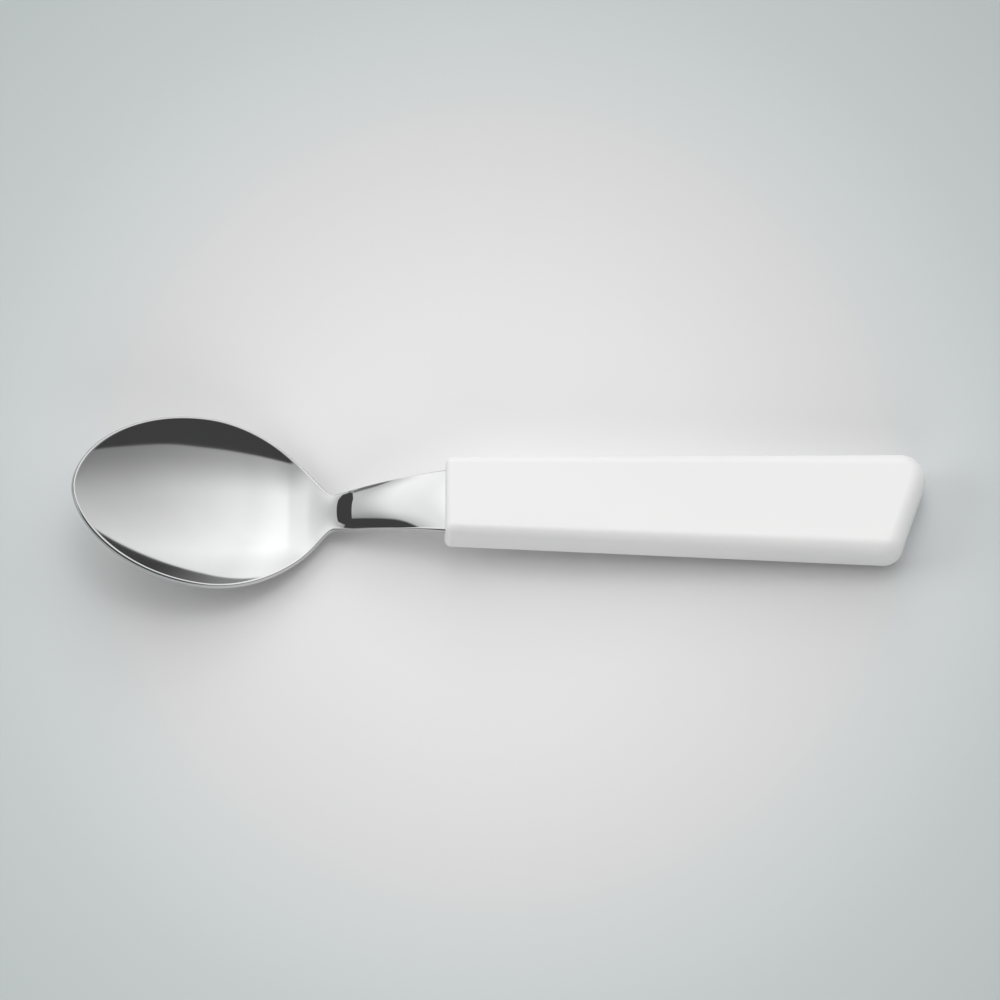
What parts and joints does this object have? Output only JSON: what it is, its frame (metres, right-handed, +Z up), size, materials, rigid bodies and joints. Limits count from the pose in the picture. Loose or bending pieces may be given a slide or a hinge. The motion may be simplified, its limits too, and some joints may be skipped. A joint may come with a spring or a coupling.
{
  "type": "teaspoon",
  "caption": "Teaspoon with a shallow egg-shaped polished steel bowl, a slim upswept neck, and a tapered white plastic handle with rounded edges and a slanted tail.",
  "frame": {"origin": "on the table under the middle of the spoon's length and width: the tail of the handle touches Z = 0, and the bowl's underside comes within 0.1 mm of it", "axes": "+X along the spoon from the tip of the bowl to the tail of the handle, +Y to the side where the slanted tail is longer, +Z up out of the open bowl"},
  "size_m": [0.1494, 0.0324, 0.015],
  "materials": {
    "polished_steel": "mirror-polished stainless steel",
    "white_plastic": "smooth semi-gloss moulded plastic"
  },
  "bodies": {
    "root": {"steel_spoon": "polished_steel", "handle": "white_plastic"}
  },
  "joints": []
}
